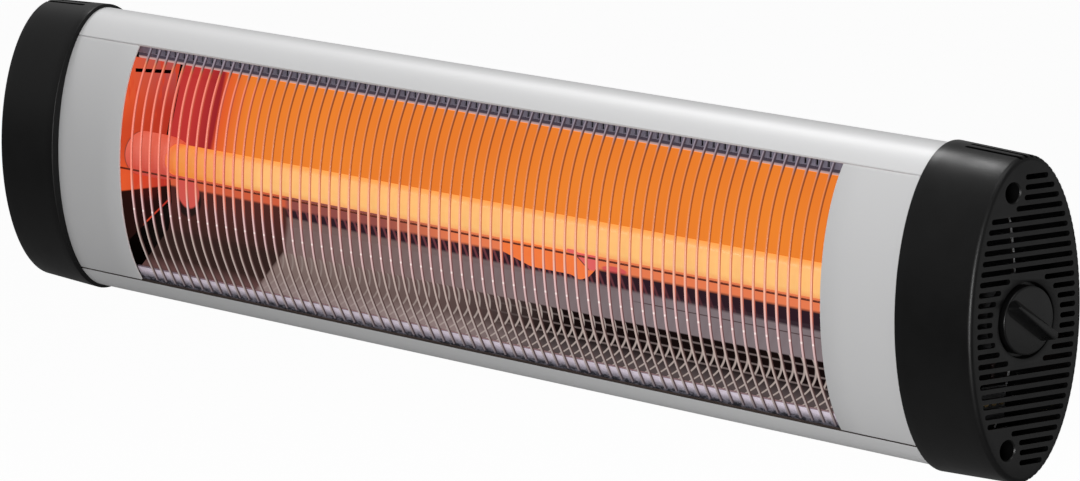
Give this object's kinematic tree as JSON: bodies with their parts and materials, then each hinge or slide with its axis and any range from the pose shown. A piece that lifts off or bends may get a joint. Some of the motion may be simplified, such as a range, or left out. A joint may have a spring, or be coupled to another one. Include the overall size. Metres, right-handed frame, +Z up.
{
  "type": "electric bar heater",
  "caption": "Wall-hung electric bar heater: oval shell, glowing quartz tube in a trough reflector behind an upright wire guard, dark vented end caps, rotary control on the end.",
  "frame": {"origin": "midway between the two wall inserts, on their outer faces at the back of the shell", "axes": "+X along the heater to its control end, +Y out of the back towards the wall, -Y the glowing front, +Z up"},
  "size_m": [0.8966, 0.0901, 0.1844],
  "materials": {
    "shell": "satin silver",
    "front_plate": "satin silver",
    "guard": "bright plated wire",
    "rail_dark": "dark slotted strip",
    "rail_light": "bright strip",
    "reflector": "polished, lit by the tube",
    "sheet": "plain sheet",
    "quartz": "satin quartz",
    "coil": "glowing winding",
    "ceramic": "unglazed",
    "cap": "fine-grained black",
    "knob": "black",
    "switch": "moulded",
    "zinc": "zinc plated",
    "brass": "plain",
    "lead": "heat-proof sleeve"
  },
  "bodies": {
    "heater": {"body_shell": "shell", "front_plate_left": "front_plate", "front_plate_right": "front_plate", "guard_wires": "guard", "guard_cross_wire": "guard", "guard_rail_top": "rail_dark", "guard_rail_bottom": "rail_light", "reflector": "reflector", "back_ribs": "sheet", "trough_end_left": "reflector", "trough_end_right": "reflector", "quartz_tube": "quartz", "heating_coil": "coil", "holder_left": "ceramic", "holder_right": "ceramic", "tube_support": "sheet", "channel_left": "sheet", "channel_right": "sheet", "bulkhead_left": "sheet", "bulkhead_right": "sheet", "end_cap_left": "cap", "end_cap_right": "cap", "cap_screws": "zinc", "rotary_switch": "switch", "switch_spades": "brass", "bush_nut": "zinc", "cable_gland": "cap", "gland_nut": "cap", "terminal_block": "switch", "terminal_screws": "brass", "lead_left": "lead", "lead_right": "lead", "lead_switch": "lead", "wall_inserts": "zinc"},
    "control": {"control_knob": "knob", "switch_spindle": "zinc"}
  },
  "joints": [
    {"name": "control_turn", "type": "hinge", "parent": "heater", "child": "control", "pos_m": [0.4435, -0.0395, 0], "axis": [1, 0, 0], "range_deg": [-57, 123]}
  ]
}
